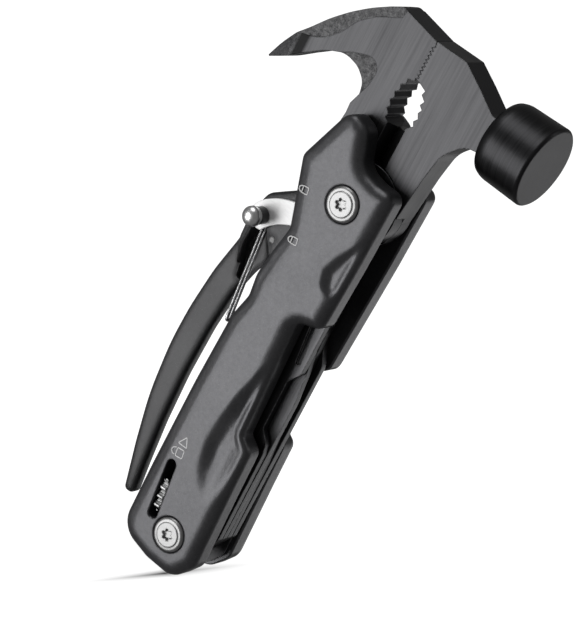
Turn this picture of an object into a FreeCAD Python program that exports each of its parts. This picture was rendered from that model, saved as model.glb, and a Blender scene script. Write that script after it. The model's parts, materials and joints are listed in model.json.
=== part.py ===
"""Hammer and plier multi tool: an assembly of separate named solids, in millimetres.

The tool stands upright: Z runs along the handle from the tool pivot up to the head, X points at the
hammer face and Y points at the back scale.  The working origin is the centre of the tool pivot; the
offsets base_x and base_z carry every body to its final place.
"""
import FreeCAD, Part
import math
import os

V = FreeCAD.Vector
doc = FreeCAD.newDocument("MultiTool")
sheet = doc.addObject("Spreadsheet::Sheet", "Dims")

DIMS = [
    ("base_x", 2.7), ("base_z", 11.0),
    ("screw_gap", 110), ("scale_in", 6.2), ("scale_out", 13.6), ("scale_wall", 7.4),
    ("liner_in", 5.0), ("liner_wall", 1.2),
    ("jaw_half", 4.6), ("jaw_wide", 9.2), ("lap_half", 0.05), ("lap_wide", 4.55),
    ("lap_disc", 11.7), ("lap_seat", 12.0),
    ("barrel_radius", 3.0), ("bore_radius", 3.05), ("head_radius", 5.0), ("seat_radius", 5.15),
    ("seat_depth", 1.7), ("tool_wide", 2.0), ("tool_pitch", 2.4), ("washer_wide", 0.3),
    ("washer_radius", 5.4), ("face_x", 40.3), ("face_z", 146.2), ("poll_radius", 11.7),
    ("poll_edge", 11.35), ("poll_back", 25.6), ("edge_round", 2.6), ("slot_wide", 3.0),
    ("knob_x", -23.7), ("knob_z", 90.8), ("knob_radius", 2.9), ("pin_radius", 1.5),
    ("bush_radius", 2.5), ("plate_wide", 1.2), ("wire_radius", 0.5), ("coil_radius", 2.3),
    ("spacer_wide", 9.96), ("tongue_wide", 5.0), ("fork_wide", 5.2), ("grip_wide", 4.8), ("grip_half", 2.4), ("claw_gap_half", 2.1),
]
for row, (alias, value) in enumerate(DIMS, start=1):
    sheet.set("A%d" % row, alias)
    sheet.set("B%d" % row, str(value))
    sheet.setAlias("B%d" % row, alias)
doc.recompute()
D = {alias: float(value) for alias, value in DIMS}
NODES = []


# ---------------------------------------------------------------- outline helpers

def rounded(corners):
    """Closed outline from (x, z, r) corners: straight sides joined by tangent arcs of radius r."""
    n = len(corners)
    trims = []
    for i in range(n):
        (px, pz, _), (cx, cz, r), (qx, qz, _) = corners[i - 1], corners[i], corners[(i + 1) % n]
        a, b = V(px - cx, pz - cz, 0), V(qx - cx, qz - cz, 0)
        half = a.getAngle(b) / 2.0
        la, lb = a.Length, b.Length
        a.normalize()
        b.normalize()
        c = V(cx, cz, 0)
        if r <= 0 or half > math.pi / 2 - 0.01:
            trims.append((c, None, c))
            continue
        back = min(r / math.tan(half), la * 0.49, lb * 0.49)
        rr = back * math.tan(half)
        mid = (a + b).normalize()
        centre = c + mid * (rr / math.sin(half))
        trims.append((c + a * back, centre - mid * rr, c + b * back))
    out = []
    for i in range(n):
        start, mid, end = trims[i]
        if mid is not None:
            out.append(Part.Arc(start, mid, end))
        nxt = trims[(i + 1) % n][0]
        if (nxt - end).Length > 1e-6:
            out.append(Part.LineSegment(end, nxt))
    return out


def ring(x, z, r):
    """One circle in a sketch."""
    return [Part.Circle(V(x, z, 0), V(0, 0, 1), r)]


def poly(points):
    """Closed outline of straight sides."""
    pts = [V(x, z, 0) for x, z in points]
    return [Part.LineSegment(pts[i], pts[(i + 1) % len(pts)]) for i in range(len(pts))]


# ---------------------------------------------------------------- feature helpers

def new_body(label):
    """A body whose name is its file name, carried from the working origin by the base offsets."""
    body = doc.addObject("PartDesign::Body", label)
    body.Label = label
    body.setExpression("Placement.Base.x", "Dims.base_x")
    body.setExpression("Placement.Base.z", "Dims.base_z")
    NODES.append((label, body))
    return body


def origin_part(body, role):
    return [f for f in body.Origin.OriginFeatures if f.Role == role][0]


def sketch(body, name, role, geometry, height=0.0, rule=None):
    """Sketch on an origin plane, raised along its normal by a height or by a sheet expression."""
    sk = body.newObject("Sketcher::SketchObject", name)
    sk.AttachmentSupport = [(origin_part(body, role), "")]
    sk.MapMode = "FlatFace"
    sk.AttachmentOffset = FreeCAD.Placement(V(0, 0, height), FreeCAD.Rotation())
    if rule:
        sk.setExpression("AttachmentOffset.Base.z", rule)
    for g in geometry:
        sk.addGeometry(g, False)
    return sk


def pad(body, name, geometry, back_y, wide, rule=None, place=None):
    """Plate whose rear face is at y = back_y and which is wide millimetres thick toward the front."""
    sk = sketch(body, name + "_sketch", "XZ_Plane", geometry, -back_y, place)
    feature = body.newObject("PartDesign::Pad", name)
    feature.Profile = sk
    feature.Length = wide
    if rule:
        feature.setExpression("Length", rule)
    return feature


def cut(body, name, geometry, front_y, deep, rule=None, place=None):
    """Pocket that starts at y = front_y and runs deep millimetres toward the back."""
    sk = sketch(body, name + "_sketch", "XZ_Plane", geometry, -front_y, place)
    feature = body.newObject("PartDesign::Pocket", name)
    feature.Profile = sk
    feature.Length = deep
    if rule:
        feature.setExpression("Length", rule)
    return feature


def cut_level(body, name, geometry, low_z, high_z):
    """Pocket through the height low_z to high_z, from an outline in the level plane (x, y)."""
    sk = sketch(body, name + "_sketch", "XY_Plane", geometry, high_z)
    feature = body.newObject("PartDesign::Pocket", name)
    feature.Profile = sk
    feature.Length = high_z - low_z
    return feature


def turn(body, name, geometry, groove=False, height=0.0, rule=None, axis="V_Axis", role="XY_Plane"):
    """Revolved solid or groove about a sketch axis."""
    sk = sketch(body, name + "_sketch", role, geometry, height, rule)
    kind = "PartDesign::Groove" if groove else "PartDesign::Revolution"
    feature = body.newObject(kind, name)
    feature.Profile = sk
    feature.ReferenceAxis = (sk, [axis])
    feature.Angle = 360
    return feature


def row_of(body, name, original, role, length, count, rule=None):
    """Straight pattern along an origin axis."""
    feature = body.newObject("PartDesign::LinearPattern", name)
    feature.Originals = [original]
    feature.Direction = (origin_part(body, role), [""])
    feature.Length = length
    feature.Occurrences = count
    if rule:
        feature.setExpression("Length", rule)
    body.Tip = feature
    return feature


def edge_names(shape, test):
    """Names of the edges whose every sample point passes the test."""
    names = []
    for i, e in enumerate(shape.Edges, start=1):
        a, b = e.FirstParameter, e.LastParameter
        if all(test(e.valueAt(a + (b - a) * k / 4.0)) for k in range(5)):
            names.append("Edge%d" % i)
    return names


def soften(body, name, test, size, rule=None, kind="Fillet"):
    """Fillet or chamfer on the edges found by the test."""
    doc.recompute()
    tip = body.Tip
    names = edge_names(tip.Shape, test)
    feature = body.newObject("PartDesign::" + kind, name)
    feature.Base = (tip, names)
    if kind == "Fillet":
        feature.Radius = size
        if rule:
            feature.setExpression("Radius", rule)
    else:
        feature.Size = size
        if rule:
            feature.setExpression("Size", rule)
    doc.recompute()
    return feature


# ---------------------------------------------------------------- handle scales and liners

LEFT = [(-3.8, -11.0, 9), (-15.4, -8.4, 8), (-15.8, 14, 100), (-15.8, 42, 200), (-15.1, 64.5, 6),
        (-13.2, 72.0, 4), (-14.1, 78.5, 10), (-13.0, 87.0, 60), (-11.5, 95.0, 5), (-14.6, 104.0, 30),
        (-18.2, 114.4, 3), (-12.4, 130.0, 3),
        (-9.6, 132.4, 4.5), (-4.0, 130.6, 4.2), (-0.4, 120.9, 6), (6.0, 119.6, 5), (12.3, 119.6, 3.6)]
FOOT = [(9.6, 34.6, 3.2), (10.0, 20, 200), (10.9, -4.0, 5), (6.2, -11.0, 6)]
FRONT_NOTCH = [(11.9, 96, 200), (11.2, 76.6, 3.4), (3.4, 74.2, 3.2), (4.1, 58, 120), (5.0, 37.4, 2.2)]
BACK_NOTCH = [(11.9, 96, 200), (10.6, 59.8, 3.4), (3.9, 58.6, 3.2), (4.6, 37.2, 2.2)]


def scoop(body, name, tail, tip, half, deep):
    """Leaf-shaped finger scoop: a long spindle, its axis outside the front face, cuts half wide by deep."""
    a, b = V(tail[0], tail[1], 0), V(tip[0], tip[1], 0)
    along_line = (b - a).normalize()
    out = V(-along_line.y, along_line.x, 0)
    radius = (half * half + deep * deep) / (2 * deep)
    lift = radius - deep
    middle = (a + b) * 0.5 + out * radius
    start, end = a + out * lift, b + out * lift
    profile = [Part.LineSegment(a, b), Part.LineSegment(b, end), Part.Arc(end, middle, start),
               Part.LineSegment(start, a)]
    sk = sketch(body, name + "_sketch", "XZ_Plane", profile, D["scale_out"] + lift)
    feature = body.newObject("PartDesign::Groove", name)
    feature.Profile = sk
    feature.ReferenceAxis = (sk, ["Edge1"])
    feature.Angle = 360
    return feature


def make_scale(label, notch, sign):
    """Thick rounded handle scale; sign -1 is the front one and +1 the back one."""
    body = new_body(label)
    near = -D["scale_in"] if sign < 0 else D["scale_out"]
    rule = "Dims.scale_in" if sign < 0 else "-Dims.scale_out"
    pad(body, label + "_blank", rounded(LEFT + notch + FOOT), near, D["scale_wall"],
        "Dims.scale_wall", rule)
    face = sign * D["scale_out"]
    soften(body, label + "_round", lambda p: abs(p.y - face) < 1e-4, D["edge_round"],
           "Dims.edge_round")
    for index, z in enumerate((0.0, D["screw_gap"])):
        deep = D["seat_depth"]
        top = face if sign < 0 else face - deep
        cut(body, "%s_seat_%d" % (label, index), ring(0, z, D["seat_radius"]), top, deep)
        start = -D["scale_out"] if sign < 0 else D["scale_in"]
        cut(body, "%s_bore_%d" % (label, index), ring(0, z, 3.02), start, D["scale_wall"])
    for index, (x, z) in enumerate(DOWELS):
        start = -9.1 if sign < 0 else D["scale_in"]
        cut(body, "%s_dowel_%d" % (label, index), ring(x, z, 1.52), start, 2.9)
    soften(body, label + "_seat_edge", lambda p: abs(p.y - face) < 1e-4 and
           min(math.hypot(p.x, p.z), math.hypot(p.x, p.z - D["screw_gap"])) < 5.2, 0.45,
           kind="Chamfer")
    return body


DOWELS = [(-13.6, 117.0), (-10.2, 126.2)]
SLOT_LOW, SLOT_HIGH = (-7.6, 2.1), (-9.4, 17.5)


def capsule(low, high, half):
    """Outline of a slot with round ends between two centres."""
    dx, dz = high[0] - low[0], high[1] - low[1]
    length = math.hypot(dx, dz)
    ux, uz = dx / length, dz / length
    nx, nz = -uz, ux
    a = V(low[0] + nx * half, low[1] + nz * half, 0)
    b = V(high[0] + nx * half, high[1] + nz * half, 0)
    c = V(high[0] - nx * half, high[1] - nz * half, 0)
    d = V(low[0] - nx * half, low[1] - nz * half, 0)
    top = V(high[0] + ux * half, high[1] + uz * half, 0)
    bottom = V(low[0] - ux * half, low[1] - uz * half, 0)
    return [Part.LineSegment(a, b), Part.Arc(b, top, c), Part.LineSegment(c, d), Part.Arc(d, bottom, a)]


def along(t, side=0.0):
    """Point on the slider slot's axis, t millimetres from its lower centre."""
    dx, dz = SLOT_HIGH[0] - SLOT_LOW[0], SLOT_HIGH[1] - SLOT_LOW[1]
    length = math.hypot(dx, dz)
    return (SLOT_LOW[0] + dx / length * t - dz / length * side,
            SLOT_LOW[1] + dz / length * t + dx / length * side)


front = make_scale("front_scale", FRONT_NOTCH, -1)
cut(front, "slider_slot", capsule(SLOT_LOW, SLOT_HIGH, D["slot_wide"] / 2), -D["scale_out"],
    D["scale_wall"], "Dims.scale_wall", "Dims.scale_out")
cut(front, "slider_chamber", capsule(along(-0.6), along(16.1), 2.9), -8.3, 2.1)
scoop(front, "upper_scoop", (8.6, 82.5), (10.6, 105.5), 2.6, 0.9)
scoop(front, "lower_scoop", (-1.2, 21.0), (8.6, 73.0), 3.2, 1.3)

back = make_scale("back_scale", BACK_NOTCH, 1)

LINER = [(-3.0, -9.6, 7), (-14.2, -7.4, 7), (-14.7, 30, 200), (-14.0, 66.0, 2), (-11.6, 74.6, 2),
         (2.0, 76.0, 1), (2.0, 66.0, 40), (3.0, 37.0, 2), (8.3, 33.0, 2), (9.4, -4.0, 4), (5.4, -10.0, 4)]
for label, near, start in (("front_liner", -5.0, -6.2), ("back_liner", 6.2, 5.0)):
    liner = new_body(label)
    pad(liner, label + "_plate", rounded(LINER), near, D["liner_wall"], "Dims.liner_wall")
    cut(liner, label + "_bore", ring(0, 0, 3.02), start, 1.2)
    if label == "front_liner":
        cut(liner, "liner_window", capsule(along(-0.6), along(16.1), 2.9), start, 1.2)

# ---------------------------------------------------------------- jaws

SPLIT, GAP = -2.0, 0.16


def fine_teeth(shift):
    """Zigzag of nine small gripping teeth down the split line."""
    out = []
    for i in range(9):
        z = 157.6 - 1.18 * i
        out += [(SPLIT + shift + 0.42, z - 0.05), (SPLIT + shift - 0.42, z - 0.75)]
    return out


CLAW_GRIP = [(-2.4, 146.6), (-4.4, 146.2), (-4.2, 144.7), (-5.5, 143.9), (-5.0, 142.2), (-6.1, 141.3),
             (-5.4, 139.8), (-6.3, 138.8), (-5.4, 137.3), (-6.0, 136.3), (-4.8, 135.0), (-5.2, 133.9),
             (-3.6, 133.0), (-2.08, 132.6)]
HAMMER_GRIP = [(-1.2, 147.2), (1.7, 146.0), (1.3, 144.7), (2.9, 143.5), (2.2, 142.1), (3.4, 141.2),
               (2.8, 140.0), (3.6, 138.6), (2.7, 137.4), (3.4, 136.2), (2.0, 134.8), (1.6, 133.6),
               (-1.92, 132.8)]

claw = new_body("claw_jaw")
sharp = [(SPLIT - GAP / 2, 159.0)] + fine_teeth(-GAP / 2) + CLAW_GRIP + [(-2.08, 113.4), (-17.2, 113.4)]
soft = [(-16.9, 122.0, 10), (-16.2, 128.6, 2), (-16.4, 131.6, 1.5), (-15.3, 134.4, 3), (-16.1, 138.2, 5),
        (-19.6, 140.8, 6), (-24.6, 141.9, 9), (-30.3, 139.4, 20), (-36.7, 134.6, 30), (-41.2, 130.9, 20),
        (-46.0, 128.0, 0.3), (-43.6, 133.8, 30), (-40.8, 138.6, 6), (-37.8, 142.0, 20), (-33.6, 147.3, 40),
        (-28.9, 152.1, 40), (-23.9, 156.3, 40), (-18.4, 160.0, 20), (-15.2, 161.6, 2.5)]
claw_line = [(x, z, 0) for x, z in sharp] + soft
pad(claw, "claw_blank", rounded(claw_line), 4.6, 9.2, "Dims.jaw_wide", "-Dims.jaw_half")
cut(claw, "claw_lap", ring(0, 110, 12.0), -0.05, 4.7)
pad(claw, "claw_disc", ring(0, 110, 11.7), -0.05, 4.55, "Dims.lap_wide", "Dims.lap_half")
cut(claw, "claw_bore", ring(0, 110, 3.05), -4.7, 4.8)
for index, (x, z) in enumerate(DOWELS):
    cut(claw, "claw_dowel_%d" % index, ring(x, z, 1.52), -4.7, 9.4)
nail = [V(-24.5, 0, 0), V(-34.0, 1.25, 0), V(-48.0, 2.1, 0), V(-48.0, -2.1, 0), V(-34.0, -1.25, 0)]
cut_level(claw, "nail_gap", [Part.LineSegment(nail[i], nail[(i + 1) % 5]) for i in range(5)], 120, 165)
for index, side in enumerate((-1, 1)):
    tri = [V(-2.0, side * 0.9, 0), V(-2.0, side * 4.8, 0), V(-4.0, side * 4.8, 0)]
    cut_level(claw, "claw_cutter_%d" % index,
              [Part.LineSegment(tri[i], tri[(i + 1) % 3]) for i in range(3)], 121.4, 133.0)
for index, side in enumerate((-1, 1)):
    wedge = [V(-35.0, side * 4.65, 0), V(-48.0, side * 3.3, 0), V(-48.0, side * 4.65, 0)]
    cut_level(claw, "claw_taper_%d" % index,
              [Part.LineSegment(wedge[i], wedge[(i + 1) % 3]) for i in range(3)], 120, 165)
CREST = [(-41.0, 138.9, 0), (-36.3, 140.1, 20), (-32.0, 142.2, 12), (-28.4, 146.2, 8), (-25.6, 151.2, 8),
         (-21.4, 155.0, 9), (-14.2, 159.0, 0), (-12.6, 166.0, 0), (-30.0, 166.0, 0), (-45.0, 148.0, 0)]
HOOK = [(-26.4, 141.0, 0), (-22.6, 143.4, 6), (-16.6, 145.6, 5), (-13.4, 143.6, 3), (-13.9, 138.4, 6),
        (-16.6, 130.8, 0), (-19.5, 134.0, 0), (-24.0, 138.0, 0)]
for name, panel in (("crest", CREST), ("hook", HOOK)):
    cut(claw, name + "_front", rounded(panel), -4.7, 0.55)
    cut(claw, name + "_back", rounded(panel), 4.15, 0.55)

hammer = new_body("hammer_jaw")
sharp = [(SPLIT + GAP / 2, 159.0)] + fine_teeth(GAP / 2) + HAMMER_GRIP + [(-1.92, 119.0)]
soft = [(-6.0, 100.5, 0), (-13.0, 100.0, 2), (-16.4, 99.2, 2), (-19.4, 96.2, 2), (-20.1, 92.0, 2),
        (-20.1, 86.7, 1), (-18.4, 84.4, 1), (-15.8, 82.6, 2), (-10.0, 85.0, 10), (-3.0, 91.5, 20),
        (5.0, 97.4, 10), (9.8, 102.8, 6), (11.5, 109.0, 20), (12.4, 118.0, 60), (13.2, 126.0, 40),
        (14.6, 134.2, 9), (19.2, 139.8, 6), (27.0, 141.2, 0), (27.0, 152.4, 0), (22.9, 150.6, 3),
        (15.2, 155.3, 9), (8.5, 159.0, 0.8)]
hammer_line = [(x, z, 0) for x, z in sharp] + soft
pad(hammer, "hammer_blank", rounded(hammer_line), 4.6, 9.2, "Dims.jaw_wide", "-Dims.jaw_half")
poll = [(24.4, 0, 0), (24.4, 10.4, 2.6), (27.4, 11.5, 6), (39.7, 11.8, 0.8), (40.3, 11.1, 0.3), (40.3, 0, 0)]
turn(hammer, "poll", rounded(poll), height=146.2, rule="Dims.face_z", axis="H_Axis")
cut(hammer, "hammer_lap", ring(0, 110, 12.0), -4.7, 4.75)
pad(hammer, "hammer_disc", ring(0, 110, 11.7), 4.6, 4.55, "Dims.lap_wide", "-Dims.jaw_half")
cut(hammer, "hammer_bore", ring(0, 110, 3.05), 0.0, 4.7)
for index, side in enumerate((-1, 1)):
    tri = [V(-2.0, side * 0.9, 0), V(-2.0, side * 4.8, 0), V(2.2, side * 4.8, 0)]
    cut_level(hammer, "hammer_cutter_%d" % index,
              [Part.LineSegment(tri[i], tri[(i + 1) % 3]) for i in range(3)], 121.4, 133.8)
shoulder = poly([(-11.2, 104.5), (-11.2, 80.0), (-27.0, 80.0), (-27.0, 104.5)])
cut(hammer, "tongue_front", shoulder, -4.7, 2.2)
shoulder = poly([(-11.2, 104.5), (-11.2, 80.0), (-27.0, 80.0), (-27.0, 104.5)])
cut(hammer, "tongue_back", shoulder, 2.5, 2.2)
RIVETS = [(-18.2, 86.2), (-16.0, 94.6)]
for index, (x, z) in enumerate(RIVETS):
    cut(hammer, "tongue_rivet_%d" % index, ring(x, z, 0.87), -2.6, 5.2)

# ---------------------------------------------------------------- lever and its fixings

lever = new_body("lever_handle")
lever_line = [(-11.6, 99.9, 0), (-16.4, 103.8, 3), (-20.4, 100.6, 6), (-26.2, 96.4, 5), (-28.4, 88.0, 9),
              (-29.0, 80.0, 30), (-31.7, 67.5, 60), (-33.2, 54.0, 90), (-33.6, 42.0, 90),
              (-32.2, 25.0, 90), (-29.0, 10.2, 60), (-25.3, -4.2, 1.6), (-21.9, -4.0, 1.6),
              (-23.0, 6.0, 30), (-24.2, 20.0, 60), (-24.7, 36.0, 90),
              (-24.2, 52.0, 60), (-22.8, 66.0, 40), (-20.4, 75.4, 20), (-15.4, 82.4, 8), (-11.6, 87.0, 0)]
pad(lever, "lever_blank", rounded(lever_line), 2.4, 4.8, "Dims.grip_wide", "-Dims.grip_half")
soften(lever, "grip_round", lambda p: abs(abs(p.y) - 2.4) < 1e-4 and p.z < 97 and
       p.x < -11.7, 1.4)
head_line = lever_line[:5] + [(-28.1, 81.0, 6), (-25.2, 73.6, 0.8), (-17.65, 79.25, 0)] + lever_line[-2:]
pad(lever, "lever_head", rounded(head_line), 4.6, 9.2, "Dims.jaw_wide", "-Dims.jaw_half")
soften(lever, "head_round", lambda p: abs(abs(p.y) - 4.6) < 1e-4 and p.z < 97 and
       p.x < -11.7, 1.4)
fork = [(-11.0, 104.4), (-11.0, 80.0), (-17.0, 79.5), (-22.0, 84.0), (-25.6, 87.6), (-27.0, 90.8),
        (-25.6, 94.0), (-22.4, 95.6), (-20.6, 99.0), (-20.0, 104.4)]
cut(lever, "fork_gap", poly(fork), -2.6, 5.2, "Dims.fork_wide")
window = [(-21.6, 88.4, 0.6), (-25.6, 88.4, 0.8), (-25.9, 80.5, 3), (-24.2, 70.0, 1), (-13.0, 69.0, 0),
          (-13.0, 77.2, 0), (-15.4, 80.3, 0), (-20.0, 86.1, 1)]
cut(lever, "wire_window", rounded(window), -4.7, 5.05)
for index, (x, z) in enumerate(RIVETS):
    cut(lever, "lever_rivet_%d" % index, ring(x, z, 0.87), -4.7, 9.4)
cut(lever, "lever_pin", ring(-23.7, 90.8, 1.52), -4.7, 9.4)

rivets = new_body("lever_rivets")
for index, (x, z) in enumerate(RIVETS):
    pad(rivets, "rivet_%d" % index, ring(x, z, 0.85), 4.7, 9.4)

pin = new_body("knob_pin")
pad(pin, "pin_shaft", ring(-23.7, 90.8, 1.5), 4.7, 15.4)
pad(pin, "pin_head", ring(-23.7, 90.8, 2.4), 5.4, 0.75)

bush = new_body("knob_bush")
pad(bush, "bush_tube", ring(-23.7, 90.8, 2.5), -6.1, 4.1)
cut(bush, "bush_bore", ring(-23.7, 90.8, 1.52), -10.5, 4.6)

knob = new_body("knob")
knob.setExpression("Placement.Base.x", "Dims.base_x + Dims.knob_x")
knob.setExpression("Placement.Base.z", "Dims.base_z + Dims.knob_z")
knob_line = [(1.52, -10.22, 0), (2.9, -10.22, 0.4), (2.9, -10.95, 0.3), (2.7, -11.05, 0.1), (2.9, -11.2, 0.2),
             (2.6, -12.6, 1.3), (1.3, -13.2, 1.6), (0, -13.2, 0), (0, -10.75, 0), (1.52, -10.75, 0)]
turn(knob, "knob_dome", rounded(knob_line))

plate = new_body("lock_plate")
plate_line = [Part.Arc(V(-22.2, 87.0, 0), V(-27.4, 89.6, 0), V(-26.6, 93.6, 0)),
              Part.Arc(V(-26.6, 93.6, 0), V(-22.2, 97.2, 0), V(-16.2, 99.6, 0)),
              Part.LineSegment(V(-16.2, 99.6, 0), V(-12.2, 100.2, 0)),
              Part.LineSegment(V(-12.2, 100.2, 0), V(-10.8, 94.4, 0)),
              Part.Arc(V(-10.8, 94.4, 0), V(-17.2, 92.0, 0), V(-22.2, 87.0, 0))]
pad(plate, "plate_blank", plate_line, -4.8, 1.2, "Dims.plate_wide")
cut(plate, "plate_bore", ring(-23.7, 90.8, 1.55), -6.1, 1.4)


def bent(points, radius):
    """Edges of a path: straight runs joined by arcs of one radius, each tangent to its two runs."""
    edges, last = [], points[0]
    for before, corner, after in zip(points, points[1:], points[2:]):
        a, b = (before - corner).normalize(), (after - corner).normalize()
        half = a.getAngle(b) / 2.0
        back = radius / math.tan(half)
        centre = corner + (a + b).normalize() * (radius / math.sin(half))
        start, end = corner + a * back, corner + b * back
        middle = centre + (corner - centre).normalize() * radius
        edges += [Part.LineSegment(last, start).toShape(), Part.Arc(start, middle, end).toShape()]
        last = end
    edges.append(Part.LineSegment(last, points[-1]).toShape())
    return edges


def spring_shape():
    """Two straight legs joined by a hairpin at the handle's edge, rising to a coil on the knob pin."""
    top, low, shift = V(-23.5, -0.45, 86.3), V(-17.0, -7.8, 61.6), V(0, -1.95, 0)
    way = (low - top).normalize()
    across = shift - way * shift.dot(way)
    far = low + across
    rise_back, rise_front = V(-24.75, 0.5, 88.8), V(-24.75, -1.2, 88.8)
    turn_edge = Part.Arc(low, low + across * 0.5 + way * (across.Length / 2), far).toShape()
    edges = bent([rise_back, top, low], 3.0) + [turn_edge] + bent([far, top + shift, rise_front], 3.0)
    path = Part.Wire(edges)
    start = (top - rise_back).normalize()
    legs = path.makePipeShell([Part.Wire([Part.makeCircle(D["wire_radius"], rise_back, start)])], True, False)
    outer, inner = D["coil_radius"] + D["wire_radius"], D["coil_radius"] - D["wire_radius"]
    base, along_pin = V(D["knob_x"], -1.75, D["knob_z"]), V(0, 1, 0)
    coil = Part.makeCylinder(outer, 3.5, base, along_pin).cut(Part.makeCylinder(inner, 3.5, base, along_pin))
    return legs.fuse(coil).removeSplitter()


strand = spring_shape()
wire = doc.addObject("Part::Feature", "spring_wire")
wire.Label = "spring_wire"
wire.Shape = strand
wire.setExpression("Placement.Base.x", "Dims.base_x")
wire.setExpression("Placement.Base.z", "Dims.base_z")
NODES.append(("spring_wire", wire))

# ---------------------------------------------------------------- pivots and fastenings

barrels = new_body("handle_barrels")
profile = poly([(1.9, -9.6), (3.0, -9.6), (3.0, 11.9), (5.0, 11.9), (5.0, 13.7), (4.1, 14.45),
                (0, 14.45), (0, 3.0), (1.9, 3.0)])
row_of(barrels, "barrel_row", turn(barrels, "barrel", profile), "Z_Axis", 110, 2, "Dims.screw_gap")
screws = new_body("handle_screws")
profile = poly([(0, -12.8), (0, 2.6), (1.85, 2.6), (1.85, -11.9), (5.0, -11.9), (5.0, -13.7),
                (4.1, -14.45), (1.5, -14.45), (1.5, -12.8)])
row_of(screws, "screw_row", turn(screws, "screw", profile), "Z_Axis", 110, 2, "Dims.screw_gap")

tool_washers = new_body("tool_washers")
profile = poly([(3.02, -4.95), (5.4, -4.95), (5.4, -4.65), (3.02, -4.65)])
row_of(tool_washers, "washer_row", turn(tool_washers, "washer", profile), "Y_Axis", 9.6, 5)

pivot_washers = new_body("pivot_washers")
pivot_washers.setExpression("Placement.Base.z", "Dims.base_z + Dims.screw_gap")
profile = poly([(3.02, -6.2), (8.5, -6.2), (8.5, -4.66), (3.02, -4.66)])
row_of(pivot_washers, "thrust_row", turn(pivot_washers, "thrust", profile), "Y_Axis", 10.86, 2)

dowels = new_body("claw_dowels")
for index, (x, z) in enumerate(DOWELS):
    pad(dowels, "dowel_%d" % index, ring(x, z, 1.5), 9.0, 18.0)

spacer = new_body("back_spacer")
spacer_line = [(-14.5, 9.0, 1.5), (-14.6, 30, 200), (-13.9, 66.0, 2), (-10.4, 66.0, 2), (-9.9, 60.0, 2),
               (-9.2, 9.0, 1.5)]
pad(spacer, "spacer_bar", rounded(spacer_line), 4.98, 9.96, "Dims.spacer_wide")

comb = new_body("spring_comb")
for index in range(4):
    mid = 3.6 - 2.4 * index
    finger = poly([(-9.15, 40.0), (-7.9, 40.0), (-7.5, 12.0), (-6.6, 4.4), (-7.5, 3.4), (-9.05, 12.0)])
    pad(comb, "finger_%d" % index, finger, mid + 0.9, 1.8)
pad(comb, "comb_root", poly([(-9.6, 39.9), (-7.9, 39.9), (-7.9, 59.0), (-9.84, 59.0)]),
    4.5, 9.0)

# ---------------------------------------------------------------- folding tools

TANG = [(10.2, 3.6, 1.6), (6.4, -2.6, 3), (4.6, -5.8, 4), (-1.5, -6.6, 5), (-6.9, -3.6, 5), (-6.0, 6.0, 5)]


def make_tool(label, index, outline):
    """Flat folding tool on the lower barrel; index counts back from the front liner."""
    body = new_body(label)
    near = -2.6 + 2.4 * index
    pad(body, label + "_blank", rounded(outline), near, 2.0, "Dims.tool_wide")
    cut(body, label + "_bore", ring(0, 0, 3.05), near - 2.1, 2.2)
    return body


saw_teeth = []
for i in range(17):
    z = 20.0 + 3.0 * i
    saw_teeth += [(-5.2 + 0.02 * (z - 20), z, 0), (-3.4 + 0.02 * (z - 20), z + 2.2, 0)]
saw = make_tool("saw_tool", 0, TANG + [(-5.2, 15.0, 2)] + saw_teeth +
                [(-3.4, 72.0, 0.5), (-4.2, 76.4, 0.6), (0.5, 77.6, 1.5), (8.6, 77.0, 2), (8.7, 59.6, 1.5),
                 (6.0, 55.6, 1.2), (6.2, 39.8, 1.2), (9.3, 36.4, 1.5), (9.9, 33.0, 2)])
cut(saw, "saw_nail_slot", capsule((6.2, 62.0), (5.0, 73.6), 0.8), -4.7, 0.9)

knife = make_tool("knife_tool", 1, TANG + [(-5.6, 15.0, 2), (-3.8, 18.5, 1), (-4.4, 24.0, 4),
                                            (-3.6, 52.0, 30), (0.8, 66.5, 10), (5.6, 75.4, 0.4),
                                            (9.0, 60.0, 20), (10.1, 50.0, 20)])
driver = make_tool("cross_driver", 2, TANG + [(-5.0, 14.0, 3), (-0.6, 22.0, 6), (1.2, 72.0, 4),
                                               (2.6, 74.6, 0.6), (3.0, 80.2, 0.8), (5.4, 80.2, 0.8),
                                               (5.8, 74.6, 0.6), (7.4, 72.0, 4), (9.8, 30.0, 20)])
file_tool = make_tool("file_driver", 3, TANG + [(-4.6, 15.0, 3), (-3.4, 30.0, 20), (-2.6, 62.0, 4),
                                                 (0.6, 69.0, 3), (0.6, 77.4, 0.4), (6.4, 77.4, 0.4),
                                                 (6.6, 69.0, 3), (10.0, 62.0, 3)])

# ---------------------------------------------------------------- tool lock slider

slider = new_body("lock_slider")
pad(slider, "thumb_bar", capsule(along(1.8), along(9.4), 1.35), -6.9, 6.3)
for index in range(4):
    a, b = along(1.6 + 2.4 * index, 1.6), along(1.6 + 2.4 * index, -1.6)
    c, d = along(2.7 + 2.4 * index, -1.6), along(2.7 + 2.4 * index, 1.6)
    cut(slider, "thumb_groove_%d" % index, poly([a, b, c, d]), -13.3, 0.8)
catch = new_body("lock_catch")
pad(catch, "catch_plate", capsule(along(0.2), along(9.2), 2.6), -6.3, 1.5)
cut(catch, "catch_window", capsule(along(1.8), along(9.4), 1.37), -7.9, 1.0)

doc.recompute()

# ---------------------------------------------------------------- checks and files

bad = [o.Name for o in doc.Objects if "Invalid" in o.State or "Error" in o.State]
if bad:
    raise RuntimeError("objects in error: %s" % bad)
os.makedirs("parts", exist_ok=True)
for label, item in NODES:
    shape = item.Shape
    if shape.isNull() or not shape.isValid():
        raise RuntimeError("bad shape: " + label)
    shape.exportStep("parts/%s.step" % label)
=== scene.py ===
"""Looks for the hammer and plier multi tool: new surfaces, finishes, floor, lights and camera."""

import json
import math

import bpy
import numpy as np
from mathutils import Matrix, Vector


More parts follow.
